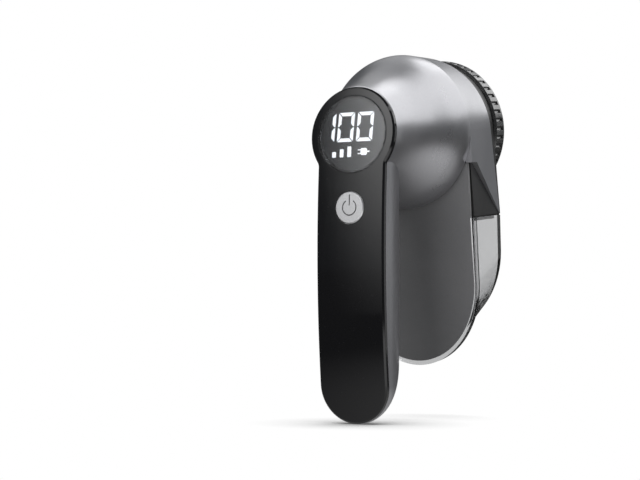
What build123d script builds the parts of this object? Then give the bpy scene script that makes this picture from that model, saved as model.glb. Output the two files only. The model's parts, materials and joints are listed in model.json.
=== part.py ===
from build123d import *
import os
from math import radians, sin, cos, tan, asin, sqrt

# Rechargeable fabric shaver: an upright handle with a face plate and display, a cone-backed cutting head
# and a lint bin that hangs under the head.  Millimetres, +Z up along the handle, origin at the centre of
# the handle's foot where the charging port opens, +Y toward the cutting foil.
os.makedirs("parts", exist_ok=True)

# ---- driving dimensions --------------------------------------------------------------------------------
wall = 2.0                 # moulded wall of the shell
fit = 0.15                 # clearance between pieces that plug together
seat_room = 0.05           # clearance round pieces that are glued or welded in
# handle
handle_half = 15.9         # half width of the handle
handle_back = 18.2         # depth of the grip behind the charging port
grip_z = 85.0              # height at which the back of the grip is fullest
side_flat = 6.0            # flat side behind the face plate before the back starts to round
foot_swell = 1.15          # how quickly the back comes forward toward the foot
# head
head_z = 118.8             # height of the display's centre, which is also on the cutter's axis
head_y = -6.9              # the display's centre in depth
tilt = 5.0                 # the cutter's axis rises by this angle toward the foil
bow_z = 70.7               # height at which the bowed face plate is furthest forward
plate_thick = 2.1
disc_r = 19.9              # round end of the face plate
plate_rim = 0.7            # bevel round the plate's front
seam = 0.1                 # how far the plate's outline stays inside the shell's
lens_r = 16.1
lens_thick = 1.3
lens_proud = 0.1
lens_ledge = 1.2           # width of the seat behind the lens
board_gap = 0.6            # space between the plate and the display board
board_thick = 1.2
# display: numerals with a slight lean, a rising level meter and a charging plug
digit_h = 12.4
digit_w = 7.8
digit_y = 3.1              # height of the numerals' middle above the display's centre
digit_lean = 3.0
bar_w = 1.7
bar_gap = 0.12
meter_at = (-8.6, -9.45)   # foot of the shortest level bar
meter_pitch = 3.6
plug_at = (5.5, -7.3)
glow_rise = 0.15           # how far the lit bars stand above the display's mask
button_z = 88.6
button_r = 6.7
button_proud = 0.45
button_travel = 0.6
mark_r = 3.4               # power mark sunk into the button
mark_line = 0.45
mark_sunk = 0.2
# cone and collar, as distances q along the cutter's axis from the display
cone_end = 41.7
cone_r = 33.0
cone_flare = 2.2           # how late the cone swells: 1 is a full dome, more is a slimmer neck
collar_front_r = 31.5
collar_top_q = 58.0        # front edge of the collar at its top
collar_slant = 0.16        # forward slant of that edge per unit of drop
leg_top = -14.0            # height, from the axis, of the collar's square side edge
leg_q = 47.2               # where that edge turns down toward the tip
# black front housing
neck_r = 29.6
neck_wall = 1.8
parting = -36.8            # level of the joint between housing and bin, from the axis
base_half = 31.2           # half width of the housing at the parting
face_q = 70.2              # front face of the housing and of the bin
housing_back = 45.8
front_wall = 2.2
ledge = 1.5                # floor of the housing round its opening to the bin
skirt_wall = 1.4
skirt_deep = 2.0           # how far the skirt reaches down into the bin
# foil and ribbed ring
ring_r = 30.9
ring_front = 79.1
foil_r = 28.1
foil_front = 79.5
foil_thick = 0.3
outer_holes = 36           # in each of the two rings round the field of small holes
outer_hole_r = 1.05
hole_pitch = 2.8
hole_r = 0.82
pin_r = 0.36               # pinholes at the middle and at the field's edge
core_r = 3.0
field_r = 18.4
bayonet_r = 26.45          # skirt of the ring inside the housing's bore
unlock = 22.0              # turn that frees the ring's lugs
rib_count = 52
groove_r = 0.95            # cutter that sinks the grooves between the ribs
groove_out = 0.35          # its centre outside the ring's surface
lug_w = 6.0
lug_turn = 90              # where the first of the three lugs stands
# motor and cutter
motor_r = 12.2
motor_len = 30.8
motor_front = 52.8
shaft_r = 1.0
screw_pitch_r = 8.0
blade_r = 24.4
blade_count = 6
blade_gap = 0.15
# lint bin
bin_wall = 1.6
skirt_back = 47.8          # rear of the skirt that plugs into the bin
skirt_gap = 0.6            # room between that skirt and the bin's walls
bin_front_half = 31.2
bin_front_straight = 51.5  # depth below the axis at which the front outline starts to round
bin_front_drop = 87.0      # depth of the bin's lowest point at the front
bin_rear_half = 31.6
bin_rear_straight = 63.9
bin_rear_drop = 101.0
bin_rear_q = 43.8          # the rear plane at the parting level
bin_lean = 4.0             # lean of the rear plane
flange_deep = 3.5
flange_out = 1.4
panel_inset = 1.0          # the flange's rim beside the panel
panel_foot = 1.9           # and under it
panel_thick = 1.6
gasket_thick = 0.6
# cell and boards
cell_r = 7.1
cell_len = 50.0
cell_z = 31.0
cell_y = 4.1

# ---- frames --------------------------------------------------------------------------------------------
bow_r = (head_z - bow_z) / sin(radians(tilt))
bow_y = head_y + bow_r * cos(radians(tilt))          # centre of the face plate's bow
axis_dir = (0, cos(radians(tilt)), sin(radians(tilt)))
head_at = (0, head_y, head_z)
head = Plane(origin=head_at, x_dir=(-1, 0, 0), z_dir=axis_dir)      # local y up, local z along the axis
head_side = Plane(origin=head_at, x_dir=axis_dir, z_dir=(1, 0, 0))  # local x along the axis, local y up
cutter_axis = Axis(head_at, axis_dir)


def front_y(z, depth=0.0):
    """Depth of the bowed face plate at height z, or of a surface `depth` behind it."""
    return bow_y - sqrt((bow_r - depth) ** 2 - (z - bow_z) ** 2)


def on_plate(z):
    """Plane on the face plate's front at height z, looking outward, with local y up."""
    lean = asin((z - bow_z) / bow_r)
    return Plane(origin=(0, front_y(z), z), x_dir=(1, 0, 0), z_dir=(0, -cos(lean), sin(lean)))


def spoke(angle, q=0.0):
    """Plane through the cutter's axis at an angle round it: local x outward, local y along the axis."""
    a = radians(angle)
    out = head.x_dir * cos(a) + head.y_dir * sin(a)
    return Plane(origin=head.origin + head.z_dir * q, x_dir=out, z_dir=out.cross(head.z_dir))


def below(level):
    """Plane across the head at a height from its axis, looking down, with local y toward the foil."""
    return Plane(origin=head.origin + head.y_dir * level, x_dir=(-1, 0, 0), z_dir=head.y_dir * -1)


face = on_plate(head_z)                                             # the display, looking outward
behind_face = Plane(origin=face.origin, x_dir=(-1, 0, 0), z_dir=face.z_dir * -1)


# ---- shapes used by more than one piece ----------------------------------------------------------------
def stadium(half, low, top):
    """Outline of the handle seen from the front: parallel sides and a round foot."""
    with BuildSketch() as outline:
        with BuildLine():
            Line((half, top), (half, low + half))
            ThreePointArc((half, low + half), (0, low), (-half, low + half))
            Line((-half, low + half), (-half, top))
            Line((-half, top), (half, top))
        make_face()
    return outline.sketch


def handle_form(inset):
    """The handle as a solid, drawn in by `inset` from its outer skin."""
    half, back = handle_half - inset, handle_back - inset
    start = front_y(bow_z) + side_flat
    with BuildPart() as form:
        with BuildSketch(Plane.XZ.offset(-start)):
            add(stadium(half, inset, head_z))
        extrude(amount=side_flat + 6)
        for turn in (0, 16, 32, 47, 61, 73, 81):
            y = start + (back - start) * sin(radians(turn))
            low = grip_z * (1 - cos(radians(turn))) ** foot_swell + inset
            with BuildSketch(Plane.XZ.offset(-y)):
                add(stadium(half * cos(radians(turn)), low, head_z))
        loft()
    return form.part


def cone_form(inset):
    """The cone behind the head, drawn in by `inset`: a slim neck behind the tilted display disc, then a round
    shoulder at the collar."""
    with BuildPart() as form:
        with BuildSketch(behind_face.offset(-2)):
            Circle(disc_r - inset)
        extrude(amount=plate_thick + 2)
        with BuildSketch(behind_face.offset(plate_thick)):
            Circle(disc_r - inset)
        for share in (0.28, 0.46, 0.64, 0.82, 1):
            swell = sin(radians(90) * share ** cone_flare)
            with BuildSketch(head.offset(cone_end * share)):
                Circle(disc_r + (cone_r - disc_r) * swell - inset)
        loft()
    return form.part


def bow_slab(near, far):
    """Everything between two depths behind the bowed front, as wide as the whole shaver."""
    low, top = -10, head_z + 60
    with BuildPart() as slab:
        with BuildSketch(Plane.YZ):
            with BuildLine():
                a, b, c = [(front_y(z, near), z) for z in (low, bow_z, top)]
                d, e, f = [(front_y(z, far), z) for z in (low, bow_z, top)]
                ThreePointArc(a, b, c)
                Line(c, f)
                ThreePointArc(f, e, d)
                Line(d, a)
            make_face()
        extrude(amount=60, both=True)
    return slab.part


def arch(radius, half, low):
    """Outline of the head seen from the front: a round top whose sides run down to a level base."""
    with BuildSketch() as outline:
        with BuildLine():
            ThreePointArc((radius, 0), (0, radius), (-radius, 0))
            Line((-radius, 0), (-half, low))
            Line((-half, low), (half, low))
            Line((half, low), (radius, 0))
        make_face()
    return outline.sketch


def cup_outline(half, low_half, top, straight, bottom):
    """Outline of the bin: sides that draw in slightly and a half-elliptical bottom."""
    with BuildSketch() as outline:
        with BuildLine():
            Line((half, top), (low_half, -straight))
            EllipticalCenterArc((0, -straight), low_half, bottom - straight, start_angle=0, arc_size=-180)
            Line((-low_half, -straight), (-half, top))
            Line((-half, top), (half, top))
        make_face()
    return outline.sketch


bin_top = parting - gasket_thick
rear = Plane(origin=head.origin + head.z_dir * (bin_rear_q + parting * sin(radians(bin_lean))),
             x_dir=(-1, 0, 0), z_dir=head.z_dir * cos(radians(bin_lean)) + head.y_dir * sin(radians(bin_lean)))


def bin_form(inset, out_front, out_rear, top):
    """The bin as a solid between its front face and its leaning rear plane."""
    with BuildPart() as form:
        with BuildSketch(head.offset(face_q - out_front)):
            add(cup_outline(bin_front_half - inset, bin_front_half - inset - 0.3, top, bin_front_straight,
                            bin_front_drop - inset))
        with BuildSketch(rear.offset(-out_rear)):
            add(cup_outline(bin_rear_half - flange_out - inset, bin_rear_half - flange_out - inset - 1.0, top,
                            bin_rear_straight, bin_rear_drop - flange_out - inset))
        loft(ruled=True)
    return form.part


# ==== housing: shell, face plate, display and electronics ================================================
with BuildPart() as main_shell:
    add(handle_form(0))
    split(bisect_by=Plane.XY, keep=Keep.TOP)
    add(cone_form(0))
    add(bow_slab(plate_thick + 0.03, 90), mode=Mode.INTERSECT)
    add(handle_form(wall), mode=Mode.SUBTRACT)
    add(cone_form(wall), mode=Mode.SUBTRACT)
    # mouth of the charging port
    with BuildSketch(Plane.XY.offset(-1)):
        SlotOverall(9.0 + 2 * fit, 3.2 + 2 * fit)
    extrude(amount=wall + 4, mode=Mode.SUBTRACT)
main_shell.part.label = "main_shell"
export_step(main_shell.part, "parts/main_shell.step")

with BuildPart() as face_plate:
    with BuildSketch(Plane.XZ.offset(-8)):
        add(stadium(handle_half - seam, seam, head_z))
    extrude(amount=40)
    with BuildSketch(behind_face.offset(-6)):
        Circle(disc_r - seam)
    extrude(amount=20)
    corners = face_plate.edges().filter_by(lambda e: abs(abs(e.center().X) - handle_half + seam) < 0.05
                                           and e.length < 40 and e.center().Z < head_z - 8
                                           and e.center().Z > head_z - 16)
    fillet(corners, radius=4.0)
    add(bow_slab(0, plate_thick), mode=Mode.INTERSECT)
    rim = face_plate.faces().sort_by(Axis.Y)[0].outer_wire().edges()
    chamfer(rim, length=plate_rim)
    # seat for the lens and the window behind it
    with BuildSketch(behind_face.offset(lens_thick - lens_proud)):
        Circle(lens_r + seat_room)
    extrude(amount=-6, mode=Mode.SUBTRACT)
    with BuildSketch(behind_face):
        Circle(lens_r - lens_ledge)
    extrude(amount=plate_thick + 2, mode=Mode.SUBTRACT)
    # ring that the display board rests on
    with BuildSketch(behind_face.offset(plate_thick - 0.4)):
        Circle(lens_r + 0.4)
        Circle(lens_r - 0.9, mode=Mode.SUBTRACT)
    extrude(amount=board_gap + 0.4)
    # opening for the power button
    with BuildSketch(on_plate(button_z)):
        Circle(button_r + fit)
    extrude(amount=12, both=True, mode=Mode.SUBTRACT)
    # ribs that locate the plate inside the shell's walls
    with BuildSketch(Plane.XZ.offset(-front_y(bow_z, plate_thick) - 0.1)):
        with Locations((handle_half - wall - fit - 0.6, 58), (-handle_half + wall + fit + 0.6, 58)):
            Rectangle(1.2, 44)
    extrude(amount=-2.6)
face_plate.part.label = "face_plate"
export_step(face_plate.part, "parts/face_plate.step")

with BuildPart() as display_lens:
    with BuildSketch(behind_face.offset(-lens_proud)):
        Circle(lens_r)
    extrude(amount=lens_thick)
    chamfer(display_lens.edges().sort_by(Axis.Y)[0], length=0.3)
display_lens.part.label = "display_lens"
export_step(display_lens.part, "parts/display_lens.step")

mask_depth = lens_thick - lens_proud + glow_rise + seat_room
with BuildPart() as display_board:
    with BuildSketch(behind_face.offset(plate_thick + board_gap)):
        Circle(lens_r + 0.5)
    extrude(amount=board_thick)
    # dark mask that fills the window behind the lens
    with BuildSketch(behind_face.offset(mask_depth)):
        Circle(lens_r - lens_ledge - fit)
    extrude(amount=plate_thick + board_gap - mask_depth)
display_board.part.label = "display_board"
export_step(display_board.part, "parts/display_board.step")



def leaning(x, y):
    """A point of a numeral after its lean, from its height above the numerals' middle."""
    return (x + y * tan(radians(digit_lean)), y + digit_y)


def upright_bar(middle, side, end):
    """Corners of a numeral's left or right bar, above or below its waist, with a mitred and a blunt end."""
    edge, tip = digit_w / 2, digit_h / 2
    shape = [(edge, bar_gap), (edge, tip - bar_w / 2), (edge - bar_gap, tip - 2 * bar_gap),
             (edge - bar_w, tip - bar_w - bar_gap), (edge - bar_w, 0.8 * bar_w), (edge - 0.35 * bar_w, bar_gap)]
    return [leaning(middle + side * x, end * y) for x, y in shape]


def level_bar(middle, end):
    """Corners of a numeral's top or bottom bar, mitred to the uprights."""
    edge, tip = digit_w / 2, digit_h / 2
    half = [(edge - bar_w / 2, tip), (edge - 2 * bar_gap, tip - bar_gap), (edge - bar_w - bar_gap, tip - bar_w)]
    shape = half + [(-x, y) for x, y in reversed(half)]
    return [leaning(middle + x, end * y) for x, y in shape]


with BuildPart() as display_segments:
    with BuildSketch(face.offset(-mask_depth)):
        for middle, sides in ((-12.4, (1,)), (-3.5, (-1, 1)), (5.6, (-1, 1))):
            for end in (-1, 1):
                for side in sides:
                    Polygon(*upright_bar(middle, side, end), align=None)
                if len(sides) == 2:
                    Polygon(*level_bar(middle, end), align=None)
        for step in range(3):
            tall = 2.5 + 1.05 * step
            with Locations((meter_at[0] + step * meter_pitch, meter_at[1] + tall / 2)):
                RectangleRounded(2.0, tall, 0.4)
        with Locations(plug_at):
            RectangleRounded(3.3, 3.1, 0.9)
        with Locations((plug_at[0] - 2.2, plug_at[1] + 0.75), (plug_at[0] - 2.2, plug_at[1] - 0.75)):
            Rectangle(1.5, 0.6)
        with Locations((plug_at[0] + 2.1, plug_at[1])):
            Rectangle(1.4, 0.8)
    extrude(amount=glow_rise)
display_segments.part.label = "display_segments"
export_step(display_segments.part, "parts/display_segments.step")

pcb_y = cell_y - cell_r - 0.3 - 0.8          # front of the control board
pcb_low, pcb_high = 70.0, 99.0
switch_high, switch_nub = 0.8, 0.25
with BuildPart() as control_board:
    with BuildSketch(Plane.XZ.offset(-pcb_y)):
        with Locations((0, (pcb_low + pcb_high) / 2)):
            Rectangle(22, pcb_high - pcb_low)
    extrude(amount=-0.8)
    with BuildSketch(Plane.XZ.offset(-pcb_y)):
        with Locations((-5, 76), (5, 75)):
            Rectangle(5, 5)
    extrude(amount=0.9)
control_board.part.label = "control_board"
export_step(control_board.part, "parts/control_board.step")

with BuildPart() as button_switch:
    with BuildSketch(Plane.XZ.offset(-pcb_y)):
        with Locations((0, button_z)):
            RectangleRounded(6, 6, 0.6)
    extrude(amount=switch_high)
    with BuildSketch(Plane.XZ.offset(-pcb_y + switch_high)):
        with Locations((0, button_z)):
            Circle(1.6)
    extrude(amount=switch_nub)
button_switch.part.label = "button_switch"
export_step(button_switch.part, "parts/button_switch.step")

with BuildPart() as battery_cell:
    with BuildSketch(Plane.XY.offset(cell_z)):
        with Locations((0, cell_y)):
            Circle(cell_r)
    extrude(amount=cell_len)
    chamfer(battery_cell.edges(), length=0.5)
battery_cell.part.label = "battery_cell"
export_step(battery_cell.part, "parts/battery_cell.step")

with BuildPart() as battery_contacts:
    for level in (cell_z - 0.4, cell_z + cell_len):
        with BuildSketch(Plane.XY.offset(level)):
            with Locations((0, cell_y)):
                Rectangle(9, 9)
        extrude(amount=0.4)
battery_contacts.part.label = "battery_contacts"
export_step(battery_contacts.part, "parts/battery_contacts.step")

rail_in = cell_r + fit
with BuildPart() as cell_cradle:
    for level, thick in ((cell_z - 0.4, -1.8), (cell_z + cell_len + 0.4, 1.8)):
        with BuildSketch(Plane.XY.offset(level)):
            with Locations((0, cell_y - 3.9)):
                Rectangle(2 * (handle_half - wall - 1.3), 5.4)
        extrude(amount=thick)
    with BuildSketch(Plane.XY.offset(cell_z - 2.2)):
        with Locations((rail_in + 0.8, cell_y - 3.9), (-rail_in - 0.8, cell_y - 3.9)):
            Rectangle(1.6, 5.4)
    extrude(amount=cell_len + 4.4)
cell_cradle.part.label = "cell_cradle"
export_step(cell_cradle.part, "parts/cell_cradle.step")

port_z = 1.3               # the port's mouth sits this far up inside the foot
with BuildPart() as charging_port:
    with BuildSketch(Plane.XY.offset(port_z)):
        SlotOverall(9.0, 3.2)
    extrude(amount=7.4)
    with BuildSketch(Plane.XY.offset(port_z)):
        SlotOverall(8.4, 2.6)
    extrude(amount=6.2, mode=Mode.SUBTRACT)
    with BuildSketch(Plane.XY.offset(port_z + 0.9)):
        Rectangle(6.4, 0.7)
    extrude(amount=6)
charging_port.part.label = "charging_port"
export_step(charging_port.part, "parts/charging_port.step")

with BuildPart() as charging_board:
    with BuildSketch(Plane.XZ.offset(1.6)):
        with Locations((0, 13.5)):
            Rectangle(13, 17)
    extrude(amount=1.0)
    with BuildSketch(Plane.XZ.offset(1.6)):
        with Locations((0, 15)):
            Rectangle(5, 5)
    extrude(amount=-1.2)
charging_board.part.label = "charging_board"
export_step(charging_board.part, "parts/charging_board.step")

with BuildPart() as port_carrier:
    # tongue that backs the charging port and runs up to the cradle
    with BuildSketch(Plane.XZ.offset(-1.6)):
        with Locations((0, (7 + cell_z - 2.2) / 2)):
            Rectangle(12, cell_z - 2.2 - 7)
    extrude(amount=-1.4)
port_carrier.part.label = "port_carrier"
export_step(port_carrier.part, "parts/port_carrier.step")

# ==== housing: cutting head ==============================================================================
pocket_r = motor_r + fit
skirt_half = min(base_half, bin_rear_half - flange_out) - bin_wall - 0.3
skirt_front = face_q - bin_wall - skirt_gap
skirt_mid, skirt_span = (skirt_back + skirt_front) / 2, skirt_front - skirt_back
with BuildPart() as front_housing:
    with BuildSketch(head.offset(housing_back)):
        add(arch(neck_r, base_half, parting))
    extrude(amount=face_q - housing_back)
    with BuildSketch(head.offset(housing_back + neck_wall)):
        add(arch(neck_r - neck_wall, base_half - neck_wall, parting + ledge))
    extrude(amount=face_q - front_wall - housing_back - neck_wall, mode=Mode.SUBTRACT)
    # spigot that plugs into the cone
    with BuildSketch(head.offset(cone_end - 3)):
        Circle(neck_r - 0.4)
    extrude(amount=housing_back + 1 - cone_end + 3)
    with BuildSketch(head.offset(cone_end - 3)):
        Circle(neck_r - 2.2)
    extrude(amount=housing_back - 0.2 - cone_end + 3, mode=Mode.SUBTRACT)
    # pocket for the motor
    with BuildSketch(head.offset(housing_back - 2)):
        Circle(pocket_r + 1.6)
    extrude(amount=motor_front + 2 - housing_back + 2)
    with BuildSketch(head.offset(housing_back - 3)):
        Circle(pocket_r)
    extrude(amount=motor_front - housing_back + 3, mode=Mode.SUBTRACT)
    with BuildSketch(head.offset(motor_front - 1)):
        Circle(3.4)
        with PolarLocations(screw_pitch_r, 2):
            Circle(1.1)
    extrude(amount=6, mode=Mode.SUBTRACT)
    # bore for the cutter, with three entries for the ring's lugs
    with BuildSketch(head.offset(face_q - front_wall - 1)):
        Circle(bayonet_r + fit)
        with PolarLocations(bayonet_r + seat_room, 3, start_angle=lug_turn + unlock):
            Rectangle(2.8, lug_w + 1)
    extrude(amount=front_wall + 2, mode=Mode.SUBTRACT)
    # opening to the bin, and the skirt round it that plugs into the bin
    with BuildSketch(below(parting + ledge)):
        with Locations((0, skirt_mid)):
            Rectangle(2 * skirt_half, skirt_span)
    extrude(amount=ledge + skirt_deep)
    with BuildSketch(below(parting + ledge + 1)):
        with Locations((0, skirt_mid)):
            Rectangle(2 * (skirt_half - skirt_wall), skirt_span - 2 * skirt_wall)
    extrude(amount=ledge + skirt_deep + 2, mode=Mode.SUBTRACT)
front_housing.part.label = "front_housing"
export_step(front_housing.part, "parts/front_housing.step")

with BuildPart() as collar:
    with BuildSketch(head.offset(cone_end)):
        add(arch(cone_r, cone_r, parting))
    with BuildSketch(head.offset(face_q)):
        add(arch(collar_front_r, collar_front_r + 0.1, parting))
    loft(ruled=True)
    with BuildSketch(head.offset(cone_end - 1)):
        add(arch(neck_r + 0.1, base_half + 0.1, parting - 1))
    extrude(amount=face_q - cone_end + 2, mode=Mode.SUBTRACT)
    with BuildSketch(head_side):
        with BuildLine():
            tip = collar_top_q + collar_slant * (collar_front_r - parting)
            high = collar_top_q + collar_slant * (collar_front_r - 45)
            Polyline((cone_end - 2, 45), (high, 45), (tip, parting), (leg_q, leg_top), (cone_end - 2, leg_top),
                     (cone_end - 2, 45))
        make_face()
    extrude(amount=50, both=True, mode=Mode.INTERSECT)
collar.part.label = "collar"
export_step(collar.part, "parts/collar.step")

with BuildPart() as bin_gasket:
    with BuildSketch(below(parting)):
        with Locations((0, (skirt_back - 1.5 + face_q - 0.4) / 2)):
            Rectangle(2 * base_half - 0.6, face_q - 0.4 - skirt_back + 1.5)
        with Locations((0, skirt_mid)):
            Rectangle(2 * skirt_half + 0.2, skirt_span + 0.2, mode=Mode.SUBTRACT)
    extrude(amount=gasket_thick)
bin_gasket.part.label = "bin_gasket"
export_step(bin_gasket.part, "parts/bin_gasket.step")

seat_q = 64.0
with BuildPart() as cutter_seat:
    with BuildSketch(head.offset(seat_q)):
        Circle(neck_r - neck_wall - 0.1)
        Circle(4.2, mode=Mode.SUBTRACT)
        with PolarLocations(17.0, 6):
            SlotOverall(13, 8, rotation=90, mode=Mode.SUBTRACT)
    extrude(amount=1.6)
    with BuildSketch(head.offset(motor_front + 2)):
        with PolarLocations(7.4, 3, start_angle=30):
            Circle(1.8)
    extrude(amount=seat_q - motor_front - 2)
cutter_seat.part.label = "cutter_seat"
export_step(cutter_seat.part, "parts/cutter_seat.step")

with BuildPart() as motor_can:
    with BuildSketch(head.offset(motor_front - motor_len)):
        Circle(motor_r)
    extrude(amount=motor_len)
    fillet(motor_can.edges().sort_by(Axis.Y)[-1], radius=0.8)
    with BuildSketch(head.offset(motor_front)):
        Circle(3.0)
    extrude(amount=1.6)
    with BuildSketch(head.offset(motor_front - motor_len + 8)):
        Circle(shaft_r + 0.05)
    extrude(amount=motor_len, mode=Mode.SUBTRACT)
motor_can.part.label = "motor_can"
export_step(motor_can.part, "parts/motor_can.step")

with BuildPart() as motor_end_cap:
    with BuildSketch(head.offset(motor_front - motor_len)):
        Circle(motor_r - 0.6)
    extrude(amount=-2.0)
    with BuildSketch(head.offset(motor_front - motor_len - 2)):
        with Locations((8, 0), (-8, 0)):
            Rectangle(0.6, 2.4)
    extrude(amount=-3.0)
motor_end_cap.part.label = "motor_end_cap"
export_step(motor_end_cap.part, "parts/motor_end_cap.step")

with BuildPart() as motor_screws:
    with BuildSketch(head.offset(motor_front)):
        with PolarLocations(screw_pitch_r, 2):
            Circle(0.95)
    extrude(amount=2.0)
    with BuildSketch(head.offset(motor_front + 2)):
        with PolarLocations(screw_pitch_r, 2):
            Circle(1.9)
    extrude(amount=1.3)
motor_screws.part.label = "motor_screws"
export_step(motor_screws.part, "parts/motor_screws.step")

# ==== rotor ==============================================================================================
hub_q = 67.0
disc_q = 71.6
blade_top = foil_front - foil_thick - blade_gap
with BuildPart() as motor_shaft:
    with BuildSketch(head.offset(motor_front - 14)):
        Circle(shaft_r)
    extrude(amount=disc_q + 2.6 - motor_front + 14)
motor_shaft.part.label = "motor_shaft"
export_step(motor_shaft.part, "parts/motor_shaft.step")

with BuildPart() as blade_hub:
    with BuildSketch(head.offset(hub_q)):
        Circle(3.4)
        Circle(shaft_r, mode=Mode.SUBTRACT)
    extrude(amount=disc_q - hub_q)
blade_hub.part.label = "blade_hub"
export_step(blade_hub.part, "parts/blade_hub.step")

with BuildPart() as blade_disc:
    with BuildSketch(head.offset(disc_q)):
        Circle(blade_r)
        Circle(shaft_r, mode=Mode.SUBTRACT)
        with PolarLocations(18.6, blade_count, start_angle=180 / blade_count):
            SlotOverall(12.5, 5.0, rotation=90, mode=Mode.SUBTRACT)
    extrude(amount=1.2)
    with BuildSketch(head.offset(disc_q + 1.2)):
        Circle(2.6)
        Circle(shaft_r, mode=Mode.SUBTRACT)
    extrude(amount=1.2)
blade_disc.part.label = "blade_disc"
export_step(blade_disc.part, "parts/blade_disc.step")

with BuildPart() as blades:
    low, high = disc_q + 1.2, blade_top
    for turn in range(blade_count):
        with BuildSketch(spoke(turn * 360 / blade_count)):
            with BuildLine():
                Polyline((8.0, low), (blade_r - 0.6, low), (blade_r - 0.6, high), (19.0, high), (8.0, low + 1.2),
                         (8.0, low))
            make_face()
        extrude(amount=0.25, both=True)
blades.part.label = "blades"
export_step(blades.part, "parts/blades.step")

# ==== foil and its ring ==================================================================================
with BuildPart() as foil:
    with BuildSketch(head.offset(foil_front - foil_thick)):
        Circle(foil_r)
        with PolarLocations(23.2, outer_holes):
            Circle(outer_hole_r, mode=Mode.SUBTRACT)
        with PolarLocations(20.0, outer_holes, start_angle=180 / outer_holes):
            Circle(outer_hole_r, mode=Mode.SUBTRACT)
        for row in range(-7, 8):
            for col in range(-7, 8):
                x = (col + (row % 2) / 2) * hole_pitch
                y = row * hole_pitch * sqrt(3) / 2
                from_centre = sqrt(x * x + y * y)
                if from_centre < field_r:
                    with Locations((x, y)):
                        Circle(hole_r if core_r < from_centre < field_r - 1.4 else pin_r, mode=Mode.SUBTRACT)
    extrude(amount=foil_thick)
    with BuildSketch(head.offset(face_q + 3.0)):
        Circle(foil_r)
        Circle(foil_r - foil_thick, mode=Mode.SUBTRACT)
    extrude(amount=foil_front - face_q - 3.0)
    with BuildSketch(head.offset(face_q + 3.0)):
        Circle(foil_r + 1.0)
        Circle(foil_r - foil_thick, mode=Mode.SUBTRACT)
    extrude(amount=foil_thick)
foil.part.label = "foil"
export_step(foil.part, "parts/foil.step")

ring_back = face_q + 0.1
with BuildPart() as foil_ring:
    with BuildSketch(head_side):
        with BuildLine():
            Polyline((ring_back, ring_r - 0.9), (ring_back + 0.9, ring_r), (ring_front - 1.0, ring_r),
                     (ring_front, ring_r - 1.0), (ring_front, foil_r + 0.1), (face_q + 3.3, foil_r + 0.1),
                     (face_q + 3.3, foil_r + 1.1), (face_q + 3.0, foil_r + 1.1), (face_q + 3.0, bayonet_r - 0.4),
                     (ring_back, bayonet_r - 0.4), (ring_back, ring_r - 0.9))
        make_face()
    revolve(axis=cutter_axis)
    # bayonet: a short skirt behind the ring and three lugs that catch behind the housing's front wall
    with BuildSketch(head.offset(face_q - front_wall - 1.6)):
        Circle(bayonet_r)
        with PolarLocations(bayonet_r + seat_room, 3, start_angle=lug_turn):
            Rectangle(2.2, lug_w)
        Circle(bayonet_r - 1.15, mode=Mode.SUBTRACT)
    extrude(amount=1.45)
    with BuildSketch(head.offset(face_q - front_wall - 0.2)):
        Circle(bayonet_r)
        Circle(bayonet_r - 1.15, mode=Mode.SUBTRACT)
    extrude(amount=front_wall + 0.6)
    # finger grooves between the ribs
    with BuildSketch(head.offset(ring_back + 1.0)):
        with PolarLocations(ring_r + groove_out, rib_count):
            Circle(groove_r)
    extrude(amount=ring_front - ring_back - 3.2, mode=Mode.SUBTRACT)
foil_ring.part.label = "foil_ring"
export_step(foil_ring.part, "parts/foil_ring.step")

# ==== power button =======================================================================================
press = on_plate(button_z)
flange_front = plate_thick + 0.1
flange_back = pcb_y - switch_high - switch_nub - 0.06 - button_travel - front_y(button_z)
with BuildPart() as power_button:
    with BuildSketch(press.offset(button_proud)):
        Circle(button_r)
    extrude(amount=-button_proud - 1.75)
    chamfer(power_button.edges().sort_by(Axis.Y)[0], length=0.45)
    with BuildSketch(press.offset(-1)):
        Circle(button_r - 1)
    extrude(amount=1 - flange_front - 0.2)
    with BuildSketch(press.offset(-flange_front)):
        Circle(button_r + 0.9)
    extrude(amount=flange_front - flange_back)
    # sunk power mark: an open ring with a line through its gap
    with BuildSketch(press.offset(button_proud)):
        Circle(mark_r)
        Circle(mark_r - mark_line, mode=Mode.SUBTRACT)
        with Locations((0, mark_r)):
            Rectangle(3.6, 1.6, mode=Mode.SUBTRACT)
        with Locations((0, mark_r - 0.4)):
            Rectangle(mark_line, 4.4)
    extrude(amount=-mark_sunk, mode=Mode.SUBTRACT)
power_button.part.label = "power_button"
export_step(power_button.part, "parts/power_button.step")

# ==== lint bin ===========================================================================================
with BuildPart() as rear_flange:
    with BuildSketch(rear):
        add(cup_outline(bin_rear_half, bin_rear_half - 1.0, bin_top + 3, bin_rear_straight, bin_rear_drop))
    extrude(amount=flange_deep)

with BuildPart() as panel_form:
    with BuildSketch(rear):
        add(cup_outline(bin_rear_half - panel_inset, bin_rear_half - panel_inset - 1.0, leg_top - 0.3,
                        bin_rear_straight, bin_rear_drop - panel_foot))
    extrude(amount=panel_thick)

with BuildPart() as bin_body:
    add(bin_form(0, 0, 0, bin_top + 3))
    add(rear_flange.part)
    with BuildSketch(below(bin_top)):
        Rectangle(4 * bin_rear_half, 4 * face_q)
    extrude(amount=-20, mode=Mode.SUBTRACT)
    add(bin_form(bin_wall, bin_wall, 3, bin_top + 4), mode=Mode.SUBTRACT)
    with BuildSketch(rear.offset(-0.5)):
        add(cup_outline(bin_rear_half - panel_inset + seat_room, bin_rear_half - panel_inset - 1.0 + seat_room,
                        leg_top, bin_rear_straight, bin_rear_drop - panel_foot + seat_room))
    extrude(amount=panel_thick + 0.5, mode=Mode.SUBTRACT)
bin_body.part.label = "bin_body"
export_step(bin_body.part, "parts/bin_body.step")

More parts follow.
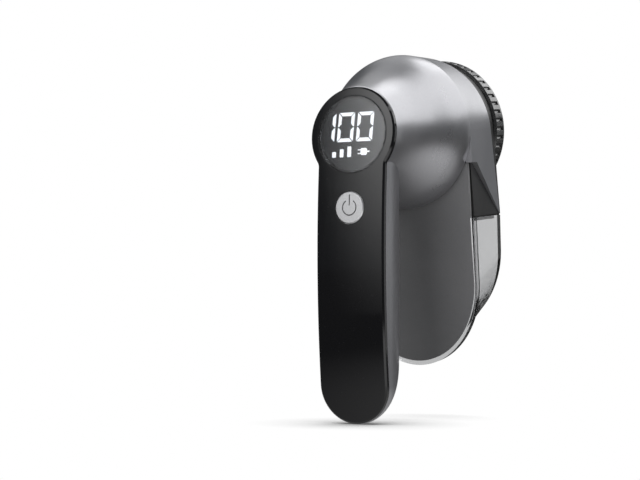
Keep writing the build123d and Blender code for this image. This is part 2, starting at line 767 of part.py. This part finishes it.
with BuildPart() as bin_rear_panel:
    add(panel_form.part)
    with BuildSketch(head.offset(30)):
        Circle(neck_r + 0.3)
    extrude(amount=30, mode=Mode.SUBTRACT)
bin_rear_panel.part.label = "bin_rear_panel"
export_step(bin_rear_panel.part, "parts/bin_rear_panel.step")
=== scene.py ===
import json
from math import cos, pi, radians, sin

import bpy
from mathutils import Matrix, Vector

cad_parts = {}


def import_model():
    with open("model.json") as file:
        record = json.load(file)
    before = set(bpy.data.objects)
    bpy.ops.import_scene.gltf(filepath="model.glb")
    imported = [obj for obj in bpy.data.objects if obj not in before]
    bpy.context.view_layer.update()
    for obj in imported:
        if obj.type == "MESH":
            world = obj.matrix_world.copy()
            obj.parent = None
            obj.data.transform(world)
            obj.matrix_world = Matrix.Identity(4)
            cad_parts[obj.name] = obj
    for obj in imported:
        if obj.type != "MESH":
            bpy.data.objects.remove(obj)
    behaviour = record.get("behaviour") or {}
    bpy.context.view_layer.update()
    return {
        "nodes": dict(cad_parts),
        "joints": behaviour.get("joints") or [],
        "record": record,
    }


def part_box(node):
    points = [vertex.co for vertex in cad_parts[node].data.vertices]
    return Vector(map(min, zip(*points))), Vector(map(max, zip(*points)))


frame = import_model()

MM = 0.001
nodes = frame["nodes"]

# ---- the head's own directions, read from the joints -----------------------------------------------------
joints = {j["name"]: j for j in frame["joints"]}
axis = Vector(joints["cutter_spin"]["axis"]).normalized()      # from the display toward the foil
hub = Vector(joints["cutter_spin"]["pos_m"])                   # the display's centre
press = Vector(joints["power_press"]["axis"]).normalized()     # into the handle, square to the button's face
tilt = axis.angle(Vector((0, 1, 0)))

# ---- camera ------------------------------------------------------------------------------------------------
CAMERA_AZIMUTH = 29.5
CAMERA_ELEVATION = -2.2
CAMERA_DISTANCE = 0.827
CAMERA_LENS = 109.8
AIM = Vector((0, 25.5, 83.7)) * MM         # a point inside the shaver, between handle and head
AIM_RIGHT, AIM_UP = 30.1 * MM, 7.5 * MM    # how far right of and above the picture's centre it stands


def toward(azimuth, elevation):
    """Direction from the shaver: azimuth 0 is in front of the display, 90 is to its right."""
    az, el = radians(azimuth), radians(elevation)
    return Vector((sin(az) * cos(el), -cos(az) * cos(el), sin(el)))


def camera():
    az = radians(CAMERA_AZIMUTH)
    back = toward(CAMERA_AZIMUTH, CAMERA_ELEVATION)
    right = Vector((cos(az), sin(az), 0))
    up = back.cross(right)
    data = bpy.data.cameras.new("view")
    data.lens = CAMERA_LENS
    data.sensor_width = 36
    data.clip_start = 0.01
    eye = bpy.data.objects.new("view", data)
    eye.location = AIM + back * CAMERA_DISTANCE
    looked_at = AIM - right * AIM_RIGHT - up * AIM_UP
    eye.rotation_euler = (looked_at - eye.location).to_track_quat("-Z", "Y").to_euler()
    bpy.context.scene.collection.objects.link(eye)
    bpy.context.scene.camera = eye


# ---- light -------------------------------------------------------------------------------------------------
LIT_POINT = Vector((0, 20, 90)) * MM       # where every softbox faces
SURROUNDINGS = 0.11                        # brightness of the room in reflections
SHADE_REACH = 35 * MM                      # how near a surface has to be to shade the floor
SHADE_DARKEST = 0.08
POOL_MIDDLE = Vector((200, -120, 0)) * MM  # the floor's lit patch, seen in reflections only
POOL_INNER, POOL_OUTER = 60 * MM, 320 * MM
POOL_BRIGHT, POOL_DIM = 1.35, 0.07


def softbox(name, azimuth, elevation, distance, width, height, power, fade=None):
    """A soft light that faces the shaver. `fade` says where along its X or Y the light starts and is full."""
    data = bpy.data.lights.new(name, "AREA")
    data.shape = "RECTANGLE"
    data.size = width
    data.size_y = height
    data.energy = power
    lamp = bpy.data.objects.new(name, data)
    lamp.location = LIT_POINT + toward(azimuth, elevation) * distance
    lamp.rotation_euler = (LIT_POINT - lamp.location).to_track_quat("-Z", "Y").to_euler()
    lamp.visible_camera = False
    bpy.context.scene.collection.objects.link(lamp)
    if fade:
        data.use_nodes = True
        tree = data.node_tree
        emit = tree.nodes["Emission"]
        across = tree.nodes.new("ShaderNodeNewGeometry")
        split = tree.nodes.new("ShaderNodeSeparateXYZ")
        tree.links.new(across.outputs["Parametric"], split.inputs[0])
        total = None
        for place, (start, end) in fade.items():
            ramp = tree.nodes.new("ShaderNodeMapRange")
            ramp.interpolation_type = "SMOOTHSTEP"
            ramp.inputs["From Min"].default_value = start
            ramp.inputs["From Max"].default_value = end
            tree.links.new(split.outputs[place], ramp.inputs["Value"])
            if total:
                both = tree.nodes.new("ShaderNodeMath")
                both.operation = "MULTIPLY"
                tree.links.new(total, both.inputs[0])
                tree.links.new(ramp.outputs[0], both.inputs[1])
                total = both.outputs[0]
            else:
                total = ramp.outputs[0]
        tree.links.new(total, emit.inputs["Strength"])


def by_ray(tree, out, seen, mirrored):
    """Shows `seen` to the camera and through clear plastic, and `mirrored` to everything else."""
    path = tree.nodes.new("ShaderNodeLightPath")
    either = tree.nodes.new("ShaderNodeMath")
    either.operation = "MAXIMUM"
    mix = tree.nodes.new("ShaderNodeMixShader")
    tree.links.new(path.outputs["Is Camera Ray"], either.inputs[0])
    tree.links.new(path.outputs["Is Transmission Ray"], either.inputs[1])
    tree.links.new(either.outputs[0], mix.inputs[0])
    tree.links.new(mirrored.outputs[0], mix.inputs[1])
    tree.links.new(seen.outputs[0], mix.inputs[2])
    tree.links.new(mix.outputs[0], out.inputs["Surface"])


def world():
    """White behind the shaver and through its clear bin, dim grey in what it reflects."""
    made = bpy.data.worlds.new("studio")
    bpy.context.scene.world = made
    made.use_nodes = True
    tree = made.node_tree
    tree.nodes.clear()
    out = tree.nodes.new("ShaderNodeOutputWorld")
    seen = tree.nodes.new("ShaderNodeBackground")
    seen.inputs["Color"].default_value = (1, 1, 1, 1)
    around = tree.nodes.new("ShaderNodeBackground")
    around.inputs["Color"].default_value = (0.9, 0.95, 1, 1)
    around.inputs["Strength"].default_value = SURROUNDINGS
    by_ray(tree, out, seen, around)


def studio():
    bpy.context.scene.view_settings.view_transform = "Standard"
    world()
    softbox("key", 133, 48, 0.9, 1.5, 1.05, 8.7)
    softbox("front", -11, 13.7, 0.45, 0.345, 0.4, 2.4, {"X": (0.0, 0.16), "Y": (-0.16, 1.3)})
    softbox("left_rim", -158, 52, 1.0, 0.75, 0.75, 0.95)
    softbox("right_low", 146, 0, 1.0, 0.22, 0.6, 0.19)


def floor():
    """White sweep with the shade under the shaver. In reflections it is lit only in front on the right."""
    reach = 6.0
    mesh = bpy.data.meshes.new("floor")
    mesh.from_pydata([(-reach, -reach, 0), (reach, -reach, 0), (reach, reach, 0), (-reach, reach, 0)], [],
                     [(0, 1, 2, 3)])
    ground = bpy.data.objects.new("floor", mesh)
    bpy.context.scene.collection.objects.link(ground)
    made = bpy.data.materials.new("floor_white")
    made.use_nodes = True
    tree = made.node_tree
    tree.nodes.clear()
    out = tree.nodes.new("ShaderNodeOutputMaterial")
    shade = tree.nodes.new("ShaderNodeAmbientOcclusion")
    shade.samples = 8
    shade.inputs["Distance"].default_value = SHADE_REACH
    soft = tree.nodes.new("ShaderNodeMapRange")
    soft.inputs["From Min"].default_value = 0.3
    soft.inputs["From Max"].default_value = 0.97
    soft.inputs["To Min"].default_value = SHADE_DARKEST
    tree.links.new(shade.outputs["AO"], soft.inputs["Value"])
    seen = tree.nodes.new("ShaderNodeEmission")
    tree.links.new(soft.outputs[0], seen.inputs["Strength"])
    where = tree.nodes.new("ShaderNodeNewGeometry")
    away = tree.nodes.new("ShaderNodeVectorMath")
    away.operation = "DISTANCE"
    away.inputs[1].default_value = POOL_MIDDLE
    tree.links.new(where.outputs["Position"], away.inputs[0])
    dim = tree.nodes.new("ShaderNodeMapRange")
    dim.interpolation_type = "SMOOTHSTEP"
    dim.inputs["From Min"].default_value = POOL_INNER
    dim.inputs["From Max"].default_value = POOL_OUTER
    dim.inputs["To Min"].default_value = POOL_BRIGHT
    dim.inputs["To Max"].default_value = POOL_DIM
    tree.links.new(away.outputs["Value"], dim.inputs["Value"])
    mirrored = tree.nodes.new("ShaderNodeEmission")
    tree.links.new(dim.outputs[0], mirrored.inputs["Strength"])
    by_ray(tree, out, seen, mirrored)
    ground.data.materials.append(made)


# ---- materials ---------------------------------------------------------------------------------------------
# Each has its own function.  Patterns are in the object's own metres, so a scale is in cycles per metre.
class Paint:
    """A material whose uniform values sit on the shader's own sockets, with helpers for its patterns."""

    def __init__(self, name, color, **inputs):
        self.made = bpy.data.materials.new(name)
        self.made.use_nodes = True
        self.tree = self.made.node_tree
        self.shader = self.tree.nodes["Principled BSDF"]
        self.set("Base Color", (*color, 1))
        for key, value in inputs.items():
            self.set(key.replace("_", " ").title().replace("Ior", "IOR"), value)

    def set(self, socket, value):
        self.shader.inputs[socket].default_value = value

    def link(self, source, target):
        self.tree.links.new(source, target)

    def node(self, kind, **settings):
        made = self.tree.nodes.new(kind)
        for key, value in settings.items():
            if hasattr(made, key):
                setattr(made, key, value)
            else:
                made.inputs[key.replace("_", " ").title()].default_value = value
        return made

    def place(self, stretch=(1, 1, 1)):
        """The object's own coordinates, stretched."""
        spot = self.node("ShaderNodeTexCoord")
        fit = self.node("ShaderNodeMapping")
        fit.inputs["Scale"].default_value = stretch
        self.link(spot.outputs["Object"], fit.inputs["Vector"])
        return fit.outputs[0]

    def about_axis(self):
        """Coordinates with the cutter's axis as Z and the display's centre as origin."""
        spot = self.node("ShaderNodeTexCoord")
        shift = self.node("ShaderNodeMapping")
        shift.inputs["Location"].default_value = -hub
        turn = self.node("ShaderNodeMapping")
        turn.inputs["Rotation"].default_value = (pi / 2 - tilt, 0, 0)
        self.link(spot.outputs["Object"], shift.inputs["Vector"])
        self.link(shift.outputs[0], turn.inputs["Vector"])
        return turn.outputs[0]

    def noise(self, at, scale, detail=3, rough=0.55, distortion=0):
        made = self.node("ShaderNodeTexNoise")
        made.inputs["Scale"].default_value = scale
        made.inputs["Detail"].default_value = detail
        made.inputs["Roughness"].default_value = rough
        made.inputs["Distortion"].default_value = distortion
        self.link(at, made.inputs["Vector"])
        return made.outputs["Fac"]

    def ramp(self, source, low, high, start=0.35, end=0.65):
        """Colours or greys from `low` to `high` as the pattern goes from `start` to `end`."""
        made = self.node("ShaderNodeValToRGB")
        for stop, place, value in zip(made.color_ramp.elements, (start, end), (low, high)):
            stop.position = place
            stop.color = (*value, 1) if hasattr(value, "__len__") else (value, value, value, 1)
        self.link(source, made.inputs[0])
        return made.outputs[0]

    def color(self, source, low, high, start=0.35, end=0.65):
        self.link(self.ramp(source, low, high, start, end), self.shader.inputs["Base Color"])

    def rough(self, source, low, high, start=0.35, end=0.65):
        self.link(self.ramp(source, low, high, start, end), self.shader.inputs["Roughness"])

    def relief(self, source, depth_mm, edge_mm=0, strength=1.0):
        """Surface relief from a pattern, over edges that look rounded by `edge_mm`."""
        made = self.node("ShaderNodeBump")
        made.inputs["Strength"].default_value = strength
        made.inputs["Distance"].default_value = depth_mm * MM
        self.link(source, made.inputs["Height"])
        if edge_mm:
            edge = self.node("ShaderNodeBevel", samples=4)
            edge.inputs["Radius"].default_value = edge_mm * MM
            self.link(edge.outputs[0], made.inputs["Normal"])
        self.link(made.outputs[0], self.shader.inputs["Normal"])

    def sum(self, first, second, share):
        """`first` with a `share` of `second` mixed in."""
        made = self.node("ShaderNodeMix", data_type="FLOAT")
        made.inputs[0].default_value = share
        self.link(first, made.inputs[2])
        self.link(second, made.inputs[3])
        return made.outputs[0]


def gunmetal_paint():
    """Satin metallic paint: fine flakes, a slight orange peel and faint handling marks."""
    m = Paint("gunmetal_paint", (0.4, 0.4, 0.42), metallic=0.88, coat_weight=0.12, coat_roughness=0.25)
    flakes = m.noise(m.place(), 5200, 2, 0.7)
    m.color(flakes, (0.33, 0.33, 0.35), (0.47, 0.47, 0.485), 0.3, 0.7)
    m.rough(m.noise(m.place((1, 1, 0.4)), 55, 5, 0.6), 0.27, 0.36)
    m.relief(m.sum(m.noise(m.place(), 700, 2), flakes, 0.25), 0.006)
    return m.made


def plate_gloss():
    """Gloss black moulding with wiping marks and a few specks of dust."""
    m = Paint("plate_gloss", (0.006, 0.006, 0.007), specular_ior_level=0.5)
    wiped = m.noise(m.place((1, 1, 0.12)), 260, 6, 0.65, 0.4)
    m.rough(wiped, 0.045, 0.085)
    dust = m.noise(m.place(), 1900, 1, 0.4)
    m.color(dust, (0.006, 0.006, 0.007), (0.03, 0.03, 0.031), 0.74, 0.82)
    m.relief(m.noise(m.place(), 120, 3), 0.006, 0.25)
    return m.made


def smoked_lens():
    """Smoked clear plastic over the display, polished, with a haze of fine wiping marks."""
    m = Paint("smoked_lens", (0.55, 0.56, 0.58), transmission_weight=1.0, ior=1.49)
    m.rough(m.noise(m.place((0.3, 1, 1)), 420, 5, 0.7), 0.0, 0.012)
    m.relief(m.noise(m.place(), 40, 2), 0.004)
    return m.made


def lit_bars():
    """Diffusing light guides, bright along their middles, with painted shade darkening their glow and colour
    where their edges meet the mask.
    """
    # radius over which painted shade darkens the bars' edges
    shade_edge_radius = 0.34 * MM
    edge_start, edge_end = 0.955, 0.995            # agreement of the rounded and true normals
    m = Paint("lit_bars", (0.9, 0.9, 0.9), roughness=0.5, emission_strength=1.7)
    edge = m.node("ShaderNodeBevel", samples=8)
    edge.inputs["Radius"].default_value = shade_edge_radius
    flat = m.node("ShaderNodeNewGeometry")
    inward = m.node("ShaderNodeVectorMath", operation="DOT_PRODUCT")
    m.link(edge.outputs[0], inward.inputs[0])
    m.link(flat.outputs["Normal"], inward.inputs[1])
    cloudy = m.ramp(m.noise(m.place(), 700, 2), (0.86, 0.9, 0.97), (1, 1, 1))
    glow = m.node("ShaderNodeMix", data_type="RGBA", blend_type="MULTIPLY")
    glow.inputs[0].default_value = 1
    m.link(cloudy, glow.inputs[6])
    # painted shade: the glow fades to near black along the bars' edges
    m.link(m.ramp(inward.outputs["Value"], 0.02, 1.0, edge_start, edge_end), glow.inputs[7])
    m.link(glow.outputs[2], m.shader.inputs["Emission Color"])
    # painted shade: the base colour goes dark along the bars' edges
    m.color(inward.outputs["Value"], 0.05, 0.8, edge_start, edge_end)
    return m.made


def solder_mask():
    """Green lacquer over copper tracks."""
    m = Paint("solder_mask", (0.01, 0.08, 0.03), coat_weight=0.4, coat_roughness=0.15)
    tracks = m.node("ShaderNodeTexBrick", offset=0.5)
    tracks.inputs["Scale"].default_value = 420
    tracks.inputs["Mortar Size"].default_value = 0.09
    tracks.inputs["Color1"].default_value = (0.006, 0.05, 0.018, 1)
    tracks.inputs["Color2"].default_value = (0.008, 0.06, 0.022, 1)
    tracks.inputs["Mortar"].default_value = (0.03, 0.16, 0.05, 1)
    turned = m.node("ShaderNodeMapping")
    turned.inputs["Rotation"].default_value = (pi / 2, 0, 0)
    m.link(m.place(), turned.inputs["Vector"])
    m.link(turned.outputs[0], tracks.inputs["Vector"])
    m.link(tracks.outputs["Color"], m.shader.inputs["Base Color"])
    m.rough(m.noise(m.place(), 900), 0.35, 0.5)
    m.relief(tracks.outputs["Fac"], 0.03)
    return m.made


def chip_epoxy():
    """Matt black moulding compound and display mask, with a fine grain."""
    m = Paint("chip_epoxy", (0.01, 0.01, 0.011))
    grain = m.noise(m.place(), 4200, 3, 0.7)
    m.color(grain, 0.007, 0.014)
    m.rough(grain, 0.45, 0.6)
    m.relief(grain, 0.01)
    return m.made


def cell_wrap():
    """Shrink wrap round the cell, with faint wrinkles and a pale band near its top."""
    band_start, band_full = 73.5 * MM, 74.5 * MM
    m = Paint("cell_wrap", (0.03, 0.12, 0.35), coat_weight=0.3)
    height = m.node("ShaderNodeSeparateXYZ")
    m.link(m.place(), height.inputs[0])
    band = m.ramp(height.outputs[2], (0.02, 0.10, 0.32), (0.75, 0.76, 0.78), band_start, band_full)
    m.link(band, m.shader.inputs["Base Color"])
    m.rough(m.noise(m.place(), 500), 0.25, 0.4)
    m.relief(m.noise(m.place((1, 1, 0.15)), 380, 3, 0.6, 1.2), 0.05)
    return m.made


def nickel():
    """Nickel-plated spring strip, drawn lengthways."""
    m = Paint("nickel", (0.72, 0.69, 0.62), metallic=1.0)
    drawn = m.noise(m.place((1, 0.05, 1)), 3200, 3)
    m.color(drawn, (0.6, 0.57, 0.5), (0.78, 0.75, 0.68))
    m.rough(drawn, 0.22, 0.4)
    m.relief(drawn, 0.008, 0.1)
    return m.made


def inner_plastic():
    """Unpainted dark moulding with an eroded texture."""
    m = Paint("inner_plastic", (0.03, 0.03, 0.032))
    grain = m.noise(m.place(), 2600, 4, 0.7)
    m.color(grain, 0.022, 0.04)
    m.rough(grain, 0.5, 0.68)
    m.relief(grain, 0.02, 0.2)
    return m.made


def satin_black():
    """Black housing: a fine moulded grain with slightly polished patches."""
    m = Paint("satin_black", (0.018, 0.018, 0.019))
    grain = m.noise(m.place(), 3400, 3, 0.7)
    m.color(m.sum(grain, m.noise(m.place(), 60), 0.5), 0.012, 0.026)
    m.rough(m.noise(m.place(), 90, 4), 0.32, 0.44)
    m.relief(grain, 0.012, 0.3)
    return m.made


def ribbed_gloss():
    """Glossier black of the foil's ring, rubbed paler where fingers turn it."""
    m = Paint("ribbed_gloss", (0.025, 0.025, 0.027), coat_weight=0.7, coat_roughness=0.14)
    rubbed = m.noise(m.place(), 300, 4, 0.65)
    m.color(rubbed, 0.018, 0.045)
    m.rough(rubbed, 0.2, 0.33)
    m.relief(m.noise(m.place(), 2800, 2), 0.006, 0.25)
    return m.made


def spun(name, color, low, high, rings, depth_mm, edge_mm=0.1):
    """Metal finished by turning: fine rings about the cutter's axis."""
    m = Paint(name, color, metallic=1.0)
    lines = m.node("ShaderNodeTexWave", wave_type="RINGS", rings_direction="Z")
    lines.inputs["Scale"].default_value = rings
    lines.inputs["Distortion"].default_value = 1.5
    lines.inputs["Detail"].default_value = 3
    lines.inputs["Detail Scale"].default_value = 2
    m.link(m.about_axis(), lines.inputs["Vector"])
    speck = m.noise(m.place(), 1500, 4, 0.7)
    mixed = m.sum(lines.outputs["Fac"], speck, 0.5)
    m.color(mixed, tuple(0.86 * c for c in color), tuple(min(1, 1.08 * c) for c in color), 0.2, 0.8)
    m.rough(mixed, low, high, 0.2, 0.8)
    m.relief(mixed, depth_mm, edge_mm)
    return m.made


def silver_button():
    """Satin silver, with dark paint in the sunk power mark."""
    ink_from, ink_full = 0.08 * MM, 0.16 * MM      # depth below the button's face
    mark_reach, mark_fade = 5.7 * MM, 5.8 * MM     # radius within which sunk metal is painted
    m = Paint("silver_button", (0.6, 0.6, 0.61), metallic=0.75)
    low, high = [Vector(c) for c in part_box("power_button")]
    top = min(v.co.dot(press) for v in nodes["power_button"].data.vertices)
    where = m.node("ShaderNodeTexCoord").outputs["Object"]
    into = m.node("ShaderNodeVectorMath", operation="DOT_PRODUCT")
    into.inputs[1].default_value = press
    m.link(where, into.inputs[0])
    sunk = m.node("ShaderNodeMapRange")
    sunk.inputs["From Min"].default_value = top + ink_from
    sunk.inputs["From Max"].default_value = top + ink_full
    m.link(into.outputs["Value"], sunk.inputs["Value"])
    from_middle = m.node("ShaderNodeVectorMath", operation="SUBTRACT")
    from_middle.inputs[1].default_value = (low + high) / 2
    m.link(where, from_middle.inputs[0])
    across = m.node("ShaderNodeVectorMath", operation="CROSS_PRODUCT")
    across.inputs[1].default_value = press
    m.link(from_middle.outputs[0], across.inputs[0])
    radius = m.node("ShaderNodeVectorMath", operation="LENGTH")
    m.link(across.outputs[0], radius.inputs[0])
    within = m.node("ShaderNodeMapRange")
    within.inputs["From Min"].default_value = mark_fade
    within.inputs["From Max"].default_value = mark_reach
    m.link(radius.outputs["Value"], within.inputs["Value"])
    both = m.node("ShaderNodeMath", operation="MULTIPLY")
    m.link(sunk.outputs[0], both.inputs[0])
    m.link(within.outputs[0], both.inputs[1])
    grain = m.noise(m.place(), 2600, 3, 0.6)
    inked = m.node("ShaderNodeMix", data_type="RGBA")
    m.link(both.outputs[0], inked.inputs[0])
    m.link(m.ramp(grain, (0.56, 0.56, 0.57), (0.68, 0.68, 0.69)), inked.inputs[6])
    m.link(m.ramp(grain, (0.07, 0.07, 0.072), (0.11, 0.11, 0.112)), inked.inputs[7])
    m.link(inked.outputs[2], m.shader.inputs["Base Color"])
    m.rough(m.noise(m.place(), 200, 3), 0.3, 0.38)
    m.relief(grain, 0.006, 0.15)
    return m.made


def clear_bin():
    """Lightly smoked clear plastic, darker where it is thicker, with faint haze and scuffs."""
    m = Paint("clear_bin", (0.97, 0.97, 0.97), transmission_weight=1.0, ior=1.49)
    smoke = m.node("ShaderNodeVolumeAbsorption")
    smoke.inputs["Color"].default_value = (0.06, 0.07, 0.08, 1)
    smoke.inputs["Density"].default_value = 190
    m.link(smoke.outputs[0], m.tree.nodes["Material Output"].inputs["Volume"])
    haze = m.noise(m.place((1, 1, 0.5)), 45, 6, 0.6, 0.6)
    m.rough(haze, 0.01, 0.05)
    m.color(haze, (0.95, 0.95, 0.955), (0.985, 0.985, 0.985))
    m.relief(m.noise(m.place(), 160, 3), 0.003)
    return m.made


def satin_panel():
    """Dark grey satin moulding of the bin's back."""
    m = Paint("satin_panel", (0.2, 0.2, 0.205))
    grain = m.noise(m.place(), 3000, 3, 0.7)
    m.color(m.sum(grain, m.noise(m.place(), 40), 0.4), (0.18, 0.18, 0.185), (0.22, 0.22, 0.225))
    m.rough(m.noise(m.place((1, 1, 0.4)), 70, 4), 0.36, 0.46)
    m.relief(grain, 0.01, 0.3)
    return m.made


def rubber():
    """Matt black gasket rubber."""
    m = Paint("rubber", (0.012, 0.012, 0.012))
    grain = m.noise(m.place(), 1800, 4, 0.7)
    m.color(grain, 0.009, 0.02)
    m.rough(grain, 0.65, 0.85)
    m.relief(grain, 0.03)
    return m.made


def white_nylon():
    """White moulding of the blade disc and hub."""
    m = Paint("white_nylon", (0.76, 0.75, 0.72), subsurface_weight=0.1,
              subsurface_radius=(0.002, 0.002, 0.002))
    grain = m.noise(m.place(), 2200, 3, 0.6)
    m.color(grain, (0.72, 0.71, 0.68), (0.82, 0.81, 0.78))
    m.rough(grain, 0.38, 0.5)
    m.relief(grain, 0.008, 0.15)
    return m.made


LOOKS = {
    "shell_paint": gunmetal_paint(),
    "face_black": plate_gloss(),
    "smoked_lens": smoked_lens(),
    "segment_white": lit_bars(),
    "board_green": solder_mask(),
    "chip_black": chip_epoxy(),
    "cell_wrap": cell_wrap(),
    "contact_metal": nickel(),
    "inner_plastic": inner_plastic(),
    "housing_black": satin_black(),
    "ring_black": ribbed_gloss(),
    "foil_steel": spun("foil_steel", (0.74, 0.73, 0.71), 0.2, 0.34, 260, 0.004, 0.06),
    "motor_steel": spun("motor_steel", (0.56, 0.56, 0.57), 0.28, 0.42, 180, 0.006),
    "button_silver": silver_button(),
    "bin_clear": clear_bin(),
    "panel_grey": satin_panel(),
    "gasket_rubber": rubber(),
    "blade_white": white_nylon(),
    "blade_steel": spun("blade_steel", (0.66, 0.66, 0.66), 0.18, 0.3, 300, 0.004),
}

for part in frame["record"]["subparts"]:
    piece = nodes[part["node"]]
    piece.data.materials.clear()
    piece.data.materials.append(LOOKS[part["material_slot"]])


camera()
studio()
floor()
